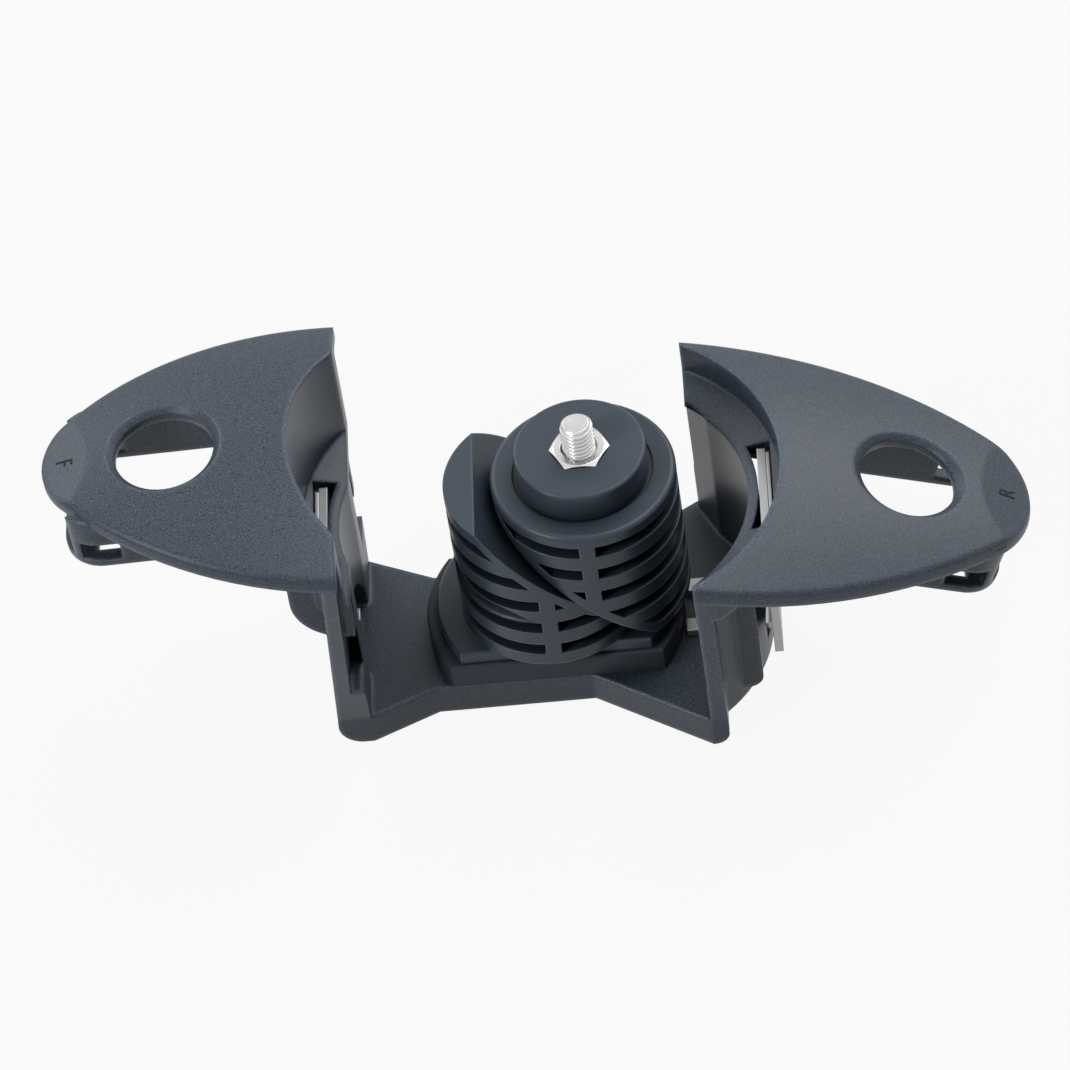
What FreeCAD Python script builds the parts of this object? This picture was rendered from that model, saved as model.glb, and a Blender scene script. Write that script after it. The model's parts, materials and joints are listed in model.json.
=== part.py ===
"""Mudguard mount: an expanding plug clamps a bracket with a front and a rear wing under a fork crown.

Frame: Z is up along the plug, X runs from the front wing (-X) to the rear wing (+X), and the origin is
on the axis of the lower wedge at the underside of the base plate. All sizes are in millimetres.
"""
import FreeCAD
import Part
import math
import os
from collections import namedtuple

# Base plate
BASE_T = 5.5
NECK_HALF = 11.2
NECK_FRONT_X = 19.0
NECK_REAR_X = 5.0
FOOT_ROUND = 4.0

# Front end, measured outboard from the plug axis
FRONT_WALL_X = 29.1
FRONT_FOOT_HALF = 15.8
FRONT_FOOT_OUT = 34.5
FRONT_TOP_OUT = 31.2
FRONT_ROOT_HALF = 25.7
FRONT_ROOT_Z = 53.0
FRONT_DROOP = 1.6
FRONT_LENGTH = 43.7
FRONT_SIDE_R = 58.0
FRONT_TIP_R = 10.5
FRONT_BITE = 6.7
FRONT_FLANK_HALF = 15.0
FRONT_HOLE_OUT = 25.1
FRONT_RIB_OUT = 38.0
FRONT_RIB_FOOT_Z = 23.9
FRONT_RIB_ROUND = 8.4
FRONT_TAB_LENGTH = 1.8

# Rear end, measured outboard from the plug axis
REAR_WALL_X = 22.6
REAR_FOOT_HALF = 22.3
REAR_FOOT_OUT = 25.2
REAR_TOP_OUT = 25.0
REAR_ROOT_HALF = 25.3
REAR_ROOT_Z = 43.1
REAR_DROOP = 19.3
REAR_LENGTH = 50.8
REAR_SIDE_R = 74.0
REAR_TIP_R = 13.5
REAR_BITE = 14.1
REAR_FLANK_HALF = 21.0
REAR_HOLE_OUT = 33.3
REAR_RIB_OUT = 31.0
REAR_RIB_FOOT_Z = 4.0
REAR_RIB_ROUND = 2.4
REAR_TAB_LENGTH = 13.3

# Walls: a stepped round recess clears the fork crown
CROWN_CLEAR_R = 28.0
LOWER_CLEAR_R = 22.7
UPPER_SHELL_T = 2.2
LOWER_SHELL_T = 1.6
LEDGE_Z = 33.6
LEDGE_DROP = 1.5
LEDGE_T = 2.2
LEAF_T = 2.4
LEAF_FOOT_Z = 14.0
WALL_LEAST = 0.2
FLANK_RUN = 6.0
WINDOW_HALF = 8.4
WINDOW_OUT = 0.8
ARCH_HALF = 7.0
ARCH_Z = 15.0
RIB_Y = 14.0
RIB_T = 2.0

# Wings
WING_CROWN_R = 80.0
WING_RISE = 1.2
WING_T = 2.4
WING_EDGE_ROUND = 0.8
HOLE_R = 7.5
HOLE_CHAMFER = 1.2
HOLE_MOUTH_BOW = 0.15
TIP_FACE_LENGTH = 7.0
TIP_FACE_SLOPE = 14.0

# Guide channel under each wing
CHANNEL_HALF = 9.6
RAIL_T = 2.2
CHANNEL_H = 7.2
LOOP_T = 1.2
LOOP_LENGTH = 5.0
LOOP_SETBACK = 2.2
LOOP_ROUND = 6.0
RAIL_PORT_L = 6.0
RAIL_PORT_H = 3.4
RAIL_PORT_SETBACK = 8.0

# Spring clips
CLIP_T = 1.3
CLIP_HALF = 12.3
CLIP_TOP_HALF = 7.8
CLIP_TOP_Z = 32.4
CLIP_SHOULDER_Z = 28.4
CLIP_BEND_R = 1.6
CLIP_TAB_Y = 4.0
CLIP_TAB_W = 2.4
CLIP_GAP = 0.1

# Seat pad
PAD_R = 19.7
PAD_HALF = 11.2
PAD_T = 4.5
PAD_EDGE = 0.5

# Plug
PLUG_R = 14.0
PLUG_EDGE = 0.8
FLANGE_R = 18.0
FLANGE_HALF = 10.6
FLANGE_T = 2.2
SLANT = 45.0
SLANT_Z = 29.35
WEDGE_GAP = 0.4
WEDGE_FOOT_GAP = 0.3
LOWER_TOP_Z = 38.8
CAP_Z = 40.0
WEDGE_SHIFT = 7.2
RING_SLOT_H = 2.3
RING_PITCH = 4.95
RING_COUNT = 5
RING_CORE_R = 9.0
RING_STRAP_W = 2.4
RING_RIM = 1.5
LOWER_RING_Z = 14.5
UPPER_RING_Z = 37.9
SPIGOT_WALL = 2.2
SPIGOT_GAP = 0.25

# Bolt, nut and disc
BOLT_R = 2.5
BOLT_LENGTH = 47.2
BOLT_CLEAR = 0.3
BOLT_TIP_CHAMFER = 0.6
HEAD_R = 4.75
HEAD_FLAT_R = 2.6
HEAD_H = 2.75
HEAD_BULGE = 0.55
HEAD_KEY_AF = 3.0
HEAD_KEY_DEPTH = 1.6
HEAD_RECESS = 0.3
HEAD_CLEAR = 0.6
WASHER_R = 5.0
WASHER_T = 1.0
SHIFT_BACK = 5.0
SHIFT_ON = 1.8
NUT_AF = 8.0
NUT_H = 4.0
NUT_PROUD = 0.4
NUT_GAP = 0.1
NUT_CHAMFER = 0.5
DISC_R = 10.0
DISC_H = 5.3
DISC_EDGE = 0.5
DISC_SEAT_R = 10.6
DISC_SEAT_DEPTH = 0.5

# A reach that passes right through anything in the part, how far a cut runs past a face, and how far each
# way from its middle the surface of a wing is swept, in degrees
THROUGH = 200.0
OVERCUT = 1.0
BOW_SWEEP = 20.0

End = namedtuple("End", "wall_x foot_half foot_out top_out root_half root_z droop length side_r tip_r "
                        "bite flank_half hole_out rib_out rib_foot_z rib_round tab_length")
FRONT = End(FRONT_WALL_X, FRONT_FOOT_HALF, FRONT_FOOT_OUT, FRONT_TOP_OUT, FRONT_ROOT_HALF, FRONT_ROOT_Z,
            FRONT_DROOP, FRONT_LENGTH, FRONT_SIDE_R, FRONT_TIP_R, FRONT_BITE, FRONT_FLANK_HALF,
            FRONT_HOLE_OUT, FRONT_RIB_OUT, FRONT_RIB_FOOT_Z, FRONT_RIB_ROUND, FRONT_TAB_LENGTH)
REAR = End(REAR_WALL_X, REAR_FOOT_HALF, REAR_FOOT_OUT, REAR_TOP_OUT, REAR_ROOT_HALF, REAR_ROOT_Z,
           REAR_DROOP, REAR_LENGTH, REAR_SIDE_R, REAR_TIP_R, REAR_BITE, REAR_FLANK_HALF,
           REAR_HOLE_OUT, REAR_RIB_OUT, REAR_RIB_FOOT_Z, REAR_RIB_ROUND, REAR_TAB_LENGTH)

V = FreeCAD.Vector
UP = V(0, 0, 1)


def face_of(edges):
    """A flat face inside a closed loop of edges."""
    return Part.Face(Part.Wire(edges))


def polygon(points):
    """A flat face with straight sides."""
    return Part.Face(Part.makePolygon(points + [points[0]]))


def line(a, b):
    return Part.LineSegment(a, b).toShape()


def arc(a, middle, b):
    return Part.Arc(a, middle, b).toShape()


def box(x0, x1, half_y, z0, z1):
    """A box that is centred on Y."""
    return Part.makeBox(x1 - x0, 2 * half_y, z1 - z0, V(x0, -half_y, z0))


def cylinder(r, z0, z1, x=0.0):
    return Part.makeCylinder(r, z1 - z0, V(x, 0, z0), UP)


def spun(profile, x):
    """A solid of revolution about the vertical line at x, from (radius, z) points."""
    points = [V(x + r, 0, z) for r, z in profile]
    return polygon(points).revolve(V(x, 0, 0), UP, 360)


def slot_prism(x0, x1, r, z0, z1):
    """An upright prism with round ends at x0 and x1."""
    ends = cylinder(r, z0, z1, x0).fuse(cylinder(r, z0, z1, x1))
    return ends.fuse(box(x0, x1, r, z0, z1)).removeSplitter()


def flatted_disc(r, half, z0, z1, edge):
    """A disc with two flats along X and a rounded top edge."""
    disc = cylinder(r, z0, z1).common(box(-r, r, half, z0, z1))
    top = [e for e in disc.Edges if e.BoundBox.ZMin > z1 - edge / 2]
    return disc.makeFillet(edge, top)


def mirrored(shape):
    return shape.mirror(V(0, 0, 0), V(1, 0, 0))


# Everything at an end is built outboard along +X; the front end is then mirrored.


def crown_axis_x(end):
    """Where the axis of the round recess stands."""
    return end.wall_x + end.bite - CROWN_CLEAR_R


def wing_down(end):
    """Unit vectors outboard along the wing and square to it."""
    a = math.radians(end.droop)
    return V(math.cos(a), 0, -math.sin(a)), V(math.sin(a), 0, math.cos(a))


def wing_point(end, out, depth=0.0):
    """A point on the middle line of the wing, out from the wall and below the top surface."""
    along, normal = wing_down(end)
    return V(end.wall_x, 0, end.root_z) + along * (out / along.x) - normal * depth


def bow_r(end):
    """Radius of the wing's middle line, which rises between the root and the tip."""
    span = end.length / wing_down(end)[0].x
    return span ** 2 / (8 * WING_RISE) + WING_RISE / 2


def bow_centre(end):
    return wing_point(end, end.length / 2) - wing_down(end)[1] * (bow_r(end) - WING_RISE)


def crown_point(end, out, y=0.0):
    """A point on the wing's top surface, out from the wall and off the middle line."""
    centre = bow_centre(end)
    reach = bow_r(end) - WING_CROWN_R + math.sqrt(WING_CROWN_R ** 2 - y ** 2)
    x = end.wall_x + out
    return V(x, y, centre.z + math.sqrt(reach ** 2 - (x - centre.x) ** 2))


def under_crown(end, depth=0.0):
    """All that lies below the top surface of the wing, less a depth: crowned across and bowed along."""
    normal = wing_down(end)[1]
    centre = bow_centre(end)
    core = centre + normal * (bow_r(end) - WING_CROWN_R)
    r = WING_CROWN_R - depth
    side = V(0, r, 0)
    section = face_of([arc(core - side, core + normal * r, core + side), line(core + side, core - side)])
    section.rotate(centre, V(0, 1, 0), -BOW_SWEEP)
    return section.revolve(centre, V(0, 1, 0), 2 * BOW_SWEEP)


def side_centre(end):
    """Centre of the side arc: it passes the root corner and runs smoothly into the tip circle."""
    root = V(end.wall_x, end.root_half, 0)
    tip = V(end.wall_x + end.length - end.tip_r, 0, 0)
    span = tip - root
    reach = (end.side_r ** 2 - (end.side_r - end.tip_r) ** 2 + span.Length ** 2) / (2 * span.Length)
    offset = math.sqrt(end.side_r ** 2 - reach ** 2)
    ahead = span.normalize()
    return root + ahead * reach + V(ahead.y, -ahead.x, 0) * offset


def wing_outline(end):
    """Plan of the wing: bowed sides, carried inboard past the root, and a round tip."""
    centre = side_centre(end)
    tip_x = end.wall_x + end.length
    tip_centre = V(tip_x - end.tip_r, 0, 0)
    inboard_x = end.wall_x - WING_T
    start = V(inboard_x, centre.y + math.sqrt(end.side_r ** 2 - (inboard_x - centre.x) ** 2), 0)
    meet = tip_centre + (tip_centre - centre).normalize() * end.tip_r
    middle = centre + ((start - centre) + (meet - centre)).normalize() * end.side_r

    def low(p):
        return V(p.x, -p.y, p.z)

    return face_of([line(low(start), start), arc(start, middle, meet), arc(meet, V(tip_x, 0, 0), low(meet)),
                    arc(low(meet), low(middle), low(start))])


def wing(end):
    """The crowned wing plate with a rounded upper edge, cut off square at the root."""
    plan = wing_outline(end).extrude(UP * THROUGH)
    plate = plan.common(under_crown(end)).cut(under_crown(end, WING_T))
    skins = sorted(plate.Faces, key=lambda face: face.Area)[-2:]
    top = max(skins, key=lambda face: face.CenterOfMass.z)
    rim = [e for e in top.Edges if e.BoundBox.XMax > end.wall_x]
    return plate.makeFillet(WING_EDGE_ROUND, rim).common(outboard_of_wall(end))


def outboard_of_wall(end):
    return box(end.wall_x, THROUGH, THROUGH, 0, THROUGH)


def tip_face(end):
    """All above the flat at the tip of the wing, which falls away from the bowed surface."""
    along, normal = wing_down(end)
    a = math.radians(TIP_FACE_SLOPE)
    down = along * math.cos(a) - normal * math.sin(a)
    rise = along * math.sin(a) + normal * math.cos(a)
    start = crown_point(end, end.length - TIP_FACE_LENGTH)
    side = polygon([start, start + down * THROUGH, start + (down + rise) * THROUGH, start + rise * THROUGH])
    side.translate(V(0, -THROUGH, 0))
    return side.extrude(V(0, 2 * THROUGH, 0))


def corner_z(end):
    """Height of the wing's root corner, which the wall meets."""
    return crown_point(end, 0, end.root_half).z


def wall_outline(end):
    """The wall seen along X: it widens from the foot to the wing's root."""
    top = corner_z(end)
    right = [V(0, end.foot_half, 0), V(0, end.foot_half, BASE_T), V(0, end.root_half, top),
             V(0, end.root_half, THROUGH)]
    left = [V(p.x, -p.y, p.z) for p in reversed(right)]
    return polygon(right + left).extrude(V(THROUGH, 0, 0))


def wall_leaf(end):
    """The outer leaf of the wall, on a thicker foot."""
    top = corner_z(end) + WING_T
    run = (end.foot_out - end.top_out) / top

    def outer(z):
        return end.foot_out - run * z

    def leaf_in(z):
        return max(end.wall_x, outer(z) - LEAF_T)

    turn = min(FOOT_ROUND, end.foot_out - end.wall_x - WALL_LEAST)
    low = V(outer(0) - turn, 0, 0)
    high = V(outer(turn), 0, turn)
    mid = turn * (1 - math.sqrt(0.5))
    path = [high, V(outer(top), 0, top), V(leaf_in(top), 0, top)]
    if leaf_in(LEAF_FOOT_Z) > end.wall_x:
        path += [V(leaf_in(LEAF_FOOT_Z), 0, LEAF_FOOT_Z), V(end.wall_x, 0, LEAF_FOOT_Z)]
    path += [V(end.wall_x, 0, 0), low]
    edges = [line(a, b) for a, b in zip(path, path[1:])]
    edges.append(arc(low, V(outer(mid) - mid, 0, mid), high))
    leaf = face_of(edges).extrude(V(0, 2 * THROUGH, 0))
    leaf.translate(V(0, -THROUGH, 0))
    return leaf


def recess(end):
    """The stepped round hollow that clears the fork crown, with a flank on each side."""
    x = crown_axis_x(end)
    hollow = spun([(0, BASE_T), (LOWER_CLEAR_R, BASE_T), (LOWER_CLEAR_R, LEDGE_Z - LEDGE_DROP),
                   (CROWN_CLEAR_R, LEDGE_Z), (CROWN_CLEAR_R, THROUGH), (0, THROUGH)], x)
    inner_half = end.flank_half - FLANK_RUN
    flank_x = x + math.sqrt(LOWER_CLEAR_R ** 2 - inner_half ** 2)
    right = [V(flank_x, inner_half, BASE_T), V(end.wall_x, end.flank_half, BASE_T),
             V(end.wall_x - OVERCUT, end.flank_half, BASE_T)]
    left = [V(p.x, -p.y, p.z) for p in reversed(right)]
    return hollow.fuse(polygon(right + left).extrude(UP * (LEDGE_Z - LEDGE_DROP - BASE_T)))


def recess_shell(end):
    """The outside of the recess, one wall thickness out."""
    lower = LOWER_CLEAR_R + LOWER_SHELL_T
    upper = CROWN_CLEAR_R + UPPER_SHELL_T
    under = LEDGE_Z - LEDGE_T
    return spun([(0, 0), (lower - FOOT_ROUND / 2, 0), (lower, FOOT_ROUND / 2), (lower, under - LEDGE_DROP),
                 (upper, under), (upper, THROUGH), (0, THROUGH)], crown_axis_x(end))


def guide_rib(end):
    """Outline of a rib beside the clip: it hangs from the wing and has a rounded lower end."""
    inner = end.wall_x
    outer = end.rib_out
    foot = end.rib_foot_z
    turn = min(end.rib_round, outer - inner)
    mid = turn * (1 - math.sqrt(0.5))
    corner_a = V(outer, 0, foot + turn)
    corner_b = V(outer - turn, 0, foot)
    edges = [line(V(inner, 0, THROUGH), V(outer, 0, THROUGH)), line(V(outer, 0, THROUGH), corner_a),
             arc(corner_a, V(outer - mid, 0, foot + mid), corner_b)]
    if outer - turn > inner:
        edges.append(line(corner_b, V(inner, 0, foot)))
    edges.append(line(V(inner, 0, foot), V(inner, 0, THROUGH)))
    return face_of(edges).extrude(V(0, RIB_T, 0))


def guide_ribs(end):
    rib = guide_rib(end)
    return [rib.translated(V(0, y - RIB_T / 2, 0)) for y in (-RIB_Y, RIB_Y)]


def wing_block(end, out0, out1, half_in, half_out, depth0, depth1):
    """A block under the wing, square to it: between two distances out, two half widths and two depths."""
    normal = wing_down(end)[1]
    start = wing_point(end, out0, depth1)
    end_point = wing_point(end, out1, depth1)
    rise = normal * (depth1 - depth0)
    blocks = []
    for lo, hi in ((-half_out, -half_in), (half_in, half_out)):
        side = polygon([start, end_point, end_point + rise, start + rise])
        side.translate(V(0, lo, 0))
        blocks.append(side.extrude(V(0, hi - lo, 0)))
    return blocks


def guide_channel(end):
    """Two rails under the wing, joined near the tip by a strap that closes a loop for the tongue."""
    rail_end = end.length - LOOP_SETBACK
    floor = WING_T + CHANNEL_H
    half = CHANNEL_HALF + RAIL_T
    root = end.bite - UPPER_SHELL_T
    rails = wing_block(end, root, rail_end, CHANNEL_HALF, half, -WING_RISE, floor + LOOP_T)
    strap = wing_block(end, rail_end - LOOP_LENGTH, rail_end, 0, half, floor, floor + LOOP_T)
    channel = rails[0].multiFuse(rails[1:] + strap)
    return channel.common(rounded_end(end, rail_end, half)).common(under_crown(end, WING_T / 2))


def rounded_end(end, out, half):
    """A tall prism square to the wing that ends at a distance out, with two rounded corners."""
    along, normal = wing_down(end)
    inner = wing_point(end, 0) - along * THROUGH
    outer = wing_point(end, out)
    side = V(0, half, 0)
    turn = V(0, half - LOOP_ROUND, 0)
    back = outer - along * LOOP_ROUND
    mid = LOOP_ROUND * math.sqrt(0.5)
    knee = back + along * mid
    knee_side = turn + V(0, mid, 0)
    plan = face_of([line(inner - side, inner + side), line(inner + side, back + side),
                    arc(back + side, knee + knee_side, outer + turn), line(outer + turn, outer - turn),
                    arc(outer - turn, knee - knee_side, back - side), line(back - side, inner - side)])
    plan.translate(normal * -THROUGH)
    return plan.extrude(normal * 2 * THROUGH)


def rail_ports(end):
    """Small openings through both rails in the loop."""
    middle = end.length - RAIL_PORT_SETBACK
    depth = WING_T + CHANNEL_H
    return wing_block(end, middle - RAIL_PORT_L / 2, middle + RAIL_PORT_L / 2, CHANNEL_HALF - OVERCUT,
                      CHANNEL_HALF + RAIL_T + OVERCUT, depth - RAIL_PORT_H, depth)


def wing_hole(end):
    """The clamp hole through the wing, with its bevelled mouth."""
    centre = crown_point(end, end.hole_out)
    normal = (centre - bow_centre(end)).normalize()
    along = V(normal.z, 0, -normal.x)
    bore = Part.makeCylinder(HOLE_R, 2 * (WING_T + OVERCUT), centre - normal * (WING_T + OVERCUT), normal)
    floor = centre - normal * HOLE_CHAMFER
    top = centre + normal * HOLE_CHAMFER
    low = floor + along * HOLE_R
    high = top + along * (HOLE_R + 2 * HOLE_CHAMFER)
    bow = (low + high) * 0.5 + (along - normal).normalize() * HOLE_MOUTH_BOW
    mouth = face_of([line(floor, low), arc(low, bow, high), line(high, top), line(top, floor)])
    return bore.fuse(mouth.revolve(centre, normal, 360))


def clip_face_x(end):
    """Where the inner face of the clip lies, just off the outside of the lower wall."""
    return crown_axis_x(end) + LOWER_CLEAR_R + LOWER_SHELL_T + CLIP_GAP


def clip_window(end):
    """The slot through the ledge that the top of the clip stands in."""
    outside = clip_face_x(end) + CLIP_T + WINDOW_OUT
    slot = box(end.wall_x, outside, WINDOW_HALF, CLIP_SHOULDER_Z - OVERCUT, LEDGE_Z + OVERCUT)
    return slot.cut(cylinder(LOWER_CLEAR_R + LOWER_SHELL_T, 0, THROUGH, crown_axis_x(end)))


def clip_room(end):
    """Clear space for the clip behind the wall, between the ribs."""
    face_x = clip_face_x(end)
    return box(face_x - CLIP_GAP, face_x + CLIP_T + WINDOW_OUT, RIB_Y - RIB_T / 2, BASE_T,
               CLIP_SHOULDER_Z + CLIP_GAP)


def tab_arch(end):
    """The arched opening at the foot of the wall that the clip's tabs pass through."""
    reach = clip_face_x(end) - end.wall_x + CLIP_T
    tall = box(end.wall_x, end.wall_x + reach, ARCH_HALF, BASE_T, ARCH_Z - ARCH_HALF)
    crown = Part.makeCylinder(ARCH_HALF, reach, V(end.wall_x, 0, ARCH_Z - ARCH_HALF), V(1, 0, 0))
    upper = box(end.wall_x, end.wall_x + reach, ARCH_HALF, BASE_T, ARCH_Z)
    return tall.fuse(crown.common(upper))


def wall(end):
    """One wall with its recess shell and ribs, trimmed to its outline and to the wing's top surface."""
    shell = recess_shell(end).common(outboard_of_wall(end))
    body = wall_leaf(end).multiFuse([shell] + guide_ribs(end))
    return body.common(wall_outline(end)).common(under_crown(end, WING_T / 2))


def bracket_end(end):
    """Wall, wing and guide channel of one end, with all its openings."""
    body = wall(end).multiFuse([wing(end), guide_channel(end)]).removeSplitter()
    openings = [recess(end), clip_room(end), clip_window(end), tab_arch(end), wing_hole(end), tip_face(end)]
    for opening in openings + rail_ports(end):
        body = body.cut(opening)
    return body


def base_plate():
    """The waisted base plate."""
    side = [V(-FRONT_WALL_X, FRONT_FOOT_HALF, 0), V(-NECK_FRONT_X, NECK_HALF, 0),
            V(NECK_REAR_X, NECK_HALF, 0), V(REAR_WALL_X, REAR_FOOT_HALF, 0)]
    other = [V(p.x, -p.y, 0) for p in reversed(side)]
    return polygon(side + other).extrude(UP * BASE_T)


def bolt_slot(r, z0, z1):
    """The slot that the bolt sweeps through as the plug spreads."""
    return slot_prism(WEDGE_SHIFT - SHIFT_BACK, WEDGE_SHIFT + SHIFT_ON, r, z0, z1)


def washer_seat_z():
    """Height of the ledge in the base that the washer pulls against."""
    return HEAD_RECESS + HEAD_H + WASHER_T


def bracket():
    body = base_plate().fuse(mirrored(bracket_end(FRONT))).fuse(bracket_end(REAR))
    body = body.cut(bolt_slot(WASHER_R + HEAD_CLEAR, -OVERCUT, washer_seat_z()))
    return body.cut(bolt_slot(BOLT_R + BOLT_CLEAR, -OVERCUT, BASE_T + OVERCUT))


def spigot(grow, z0, z1):
    """The boss under the flange that locates the pad."""
    return bolt_slot(BOLT_R + BOLT_CLEAR + SPIGOT_WALL + grow, z0, z1)


def seat_pad():
    top = BASE_T + PAD_T
    pad = flatted_disc(PAD_R, PAD_HALF, BASE_T, top, PAD_EDGE)
    return pad.cut(spigot(SPIGOT_GAP, BASE_T - OVERCUT, top + OVERCUT))


def slant_side(x, z, below):
    """The half space under or over the slanted face through the point (x, z)."""
    a = math.radians(SLANT)
    along = V(math.cos(a), 0, -math.sin(a))
    normal = V(math.sin(a), 0, math.cos(a))
    centre = V(x, 0, z)
    sheet = polygon([centre - along * THROUGH, centre + along * THROUGH,
                     centre + along * THROUGH + normal * THROUGH,
                     centre - along * THROUGH + normal * THROUGH])
    solid = sheet.extrude(V(0, 2 * THROUGH, 0))
    solid.translate(V(0, -THROUGH, 0))
    if below:
        solid = solid.mirror(centre, normal)
    return solid


def ring_slots(x, first_z, step, side):
    """Curved slots round the plug, broken by a strap at the front and the back."""
    slots = []
    for i in range(RING_COUNT):
        z = first_z + i * step
        top = z + RING_SLOT_H
        ring = cylinder(PLUG_R + OVERCUT, z, top, x).cut(cylinder(RING_CORE_R, z, top, x))
        strap = box(x - RING_STRAP_W / 2, x + RING_STRAP_W / 2, 2 * PLUG_R, z, top)
        slots.append(ring.cut(strap).common(side))
    return [s for s in slots if s.Volume > 0]


def lower_wedge():
    """The fixed half of the plug: flange, slotted body and slanted face."""
    flange_z = BASE_T + PAD_T
    body_z = flange_z + FLANGE_T
    plug = cylinder(PLUG_R, body_z, LOWER_TOP_Z).common(slant_side(0, SLANT_Z, True))
    rim = RING_RIM / math.cos(math.radians(SLANT))
    for slot in ring_slots(0, LOWER_RING_Z, RING_PITCH, slant_side(0, SLANT_Z - rim, True)):
        plug = plug.cut(slot)
    flange = flatted_disc(FLANGE_R, FLANGE_HALF, flange_z, body_z, PAD_EDGE)
    solid = plug.multiFuse([flange, spigot(0, BASE_T, flange_z)])
    return solid.cut(bolt_slot(BOLT_R + BOLT_CLEAR, 0, CAP_Z)).removeSplitter()


def upper_wedge():
    """The sliding half of the plug, with the seat for the disc in its cap."""
    x = WEDGE_SHIFT
    foot_z = BASE_T + PAD_T + FLANGE_T + SHIFT_ON + WEDGE_FOOT_GAP
    plug = cylinder(PLUG_R, foot_z, CAP_Z, x)
    plug = plug.makeFillet(PLUG_EDGE, [e for e in plug.Edges if e.BoundBox.ZMin > CAP_Z - PLUG_EDGE / 2])
    gap = WEDGE_GAP / math.cos(math.radians(SLANT))
    plug = plug.common(slant_side(0, SLANT_Z + gap, False))
    rim = RING_RIM / math.cos(math.radians(SLANT))
    side = slant_side(0, SLANT_Z + gap + rim, False)
    for slot in ring_slots(x, UPPER_RING_Z - RING_SLOT_H, -RING_PITCH, side):
        plug = plug.cut(slot)
    plug = plug.cut(cylinder(DISC_SEAT_R, CAP_Z - DISC_SEAT_DEPTH, CAP_Z + OVERCUT, x))
    return plug.cut(cylinder(BOLT_R + BOLT_CLEAR, 0, CAP_Z + OVERCUT, x))


def hexagon(across_flats, z0, z1, x):
    """A hexagonal prism with two corners along X."""
    r = across_flats / 2 / math.cos(math.pi / 6)
    corners = [V(x + r * math.cos(i * math.pi / 3), r * math.sin(i * math.pi / 3), z0) for i in range(6)]
    return polygon(corners).extrude(UP * (z1 - z0))


def disc_z():
    """Underside of the disc, on the seat in the cap."""
    return CAP_Z - DISC_SEAT_DEPTH


def nut_z():
    """Underside of the nut, at the bottom of the pocket in the disc."""
    return disc_z() + DISC_H + NUT_PROUD - NUT_H


def clamp_disc():
    top = disc_z() + DISC_H
    disc = cylinder(DISC_R, disc_z(), top, WEDGE_SHIFT)
    disc = disc.makeFillet(DISC_EDGE, [e for e in disc.Edges if e.BoundBox.ZMin > top - DISC_EDGE / 2])
    disc = disc.cut(hexagon(NUT_AF + 2 * NUT_GAP, nut_z(), top + OVERCUT, WEDGE_SHIFT))
    return disc.cut(cylinder(BOLT_R + BOLT_CLEAR, 0, top, WEDGE_SHIFT))


def hex_nut():
    """M5 nut with both faces chamfered, on a clear bore for the bolt."""
    corner_r = NUT_AF / 2 / math.cos(math.pi / 6)
    z0 = nut_z()
    z1 = z0 + NUT_H
    inset = corner_r - NUT_CHAMFER
    drop = NUT_CHAMFER * math.tan(math.pi / 6)
    chamfered = spun([(0, z0), (inset, z0), (corner_r, z0 + drop), (corner_r, z1 - drop), (inset, z1),
                      (0, z1)], WEDGE_SHIFT)
    nut = hexagon(NUT_AF, z0, z1, WEDGE_SHIFT).common(chamfered)
    return nut.cut(cylinder(BOLT_R + NUT_GAP / 2, z0 - OVERCUT, z1 + OVERCUT, WEDGE_SHIFT))


def clamp_bolt():
    """M5 button head bolt with its head down in the base."""
    seat = HEAD_RECESS + HEAD_H
    tip = seat + BOLT_LENGTH
    head_low = V(WEDGE_SHIFT + HEAD_FLAT_R, 0, HEAD_RECESS)
    head_high = V(WEDGE_SHIFT + HEAD_R, 0, seat)
    chord = head_high - head_low
    bulge = head_low + chord * 0.5 + V(chord.z, 0, -chord.x).normalize() * HEAD_BULGE
    axis_low = V(WEDGE_SHIFT, 0, HEAD_RECESS)
    axis_high = V(WEDGE_SHIFT, 0, seat)
    head = face_of([line(axis_low, head_low), arc(head_low, bulge, head_high), line(head_high, axis_high),
                    line(axis_high, axis_low)]).revolve(axis_low, UP, 360)
    shank = spun([(0, seat), (BOLT_R, seat), (BOLT_R, tip - BOLT_TIP_CHAMFER),
                  (BOLT_R - BOLT_TIP_CHAMFER, tip), (0, tip)], WEDGE_SHIFT)
    key = hexagon(HEAD_KEY_AF, HEAD_RECESS - OVERCUT, HEAD_RECESS + HEAD_KEY_DEPTH, WEDGE_SHIFT)
    return head.fuse(shank).cut(key)


def slide_washer():
    z0 = HEAD_RECESS + HEAD_H
    washer = cylinder(WASHER_R, z0, z0 + WASHER_T, WEDGE_SHIFT)
    return washer.cut(cylinder(BOLT_R + BOLT_CLEAR, z0 - OVERCUT, z0 + WASHER_T + OVERCUT, WEDGE_SHIFT))


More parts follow.
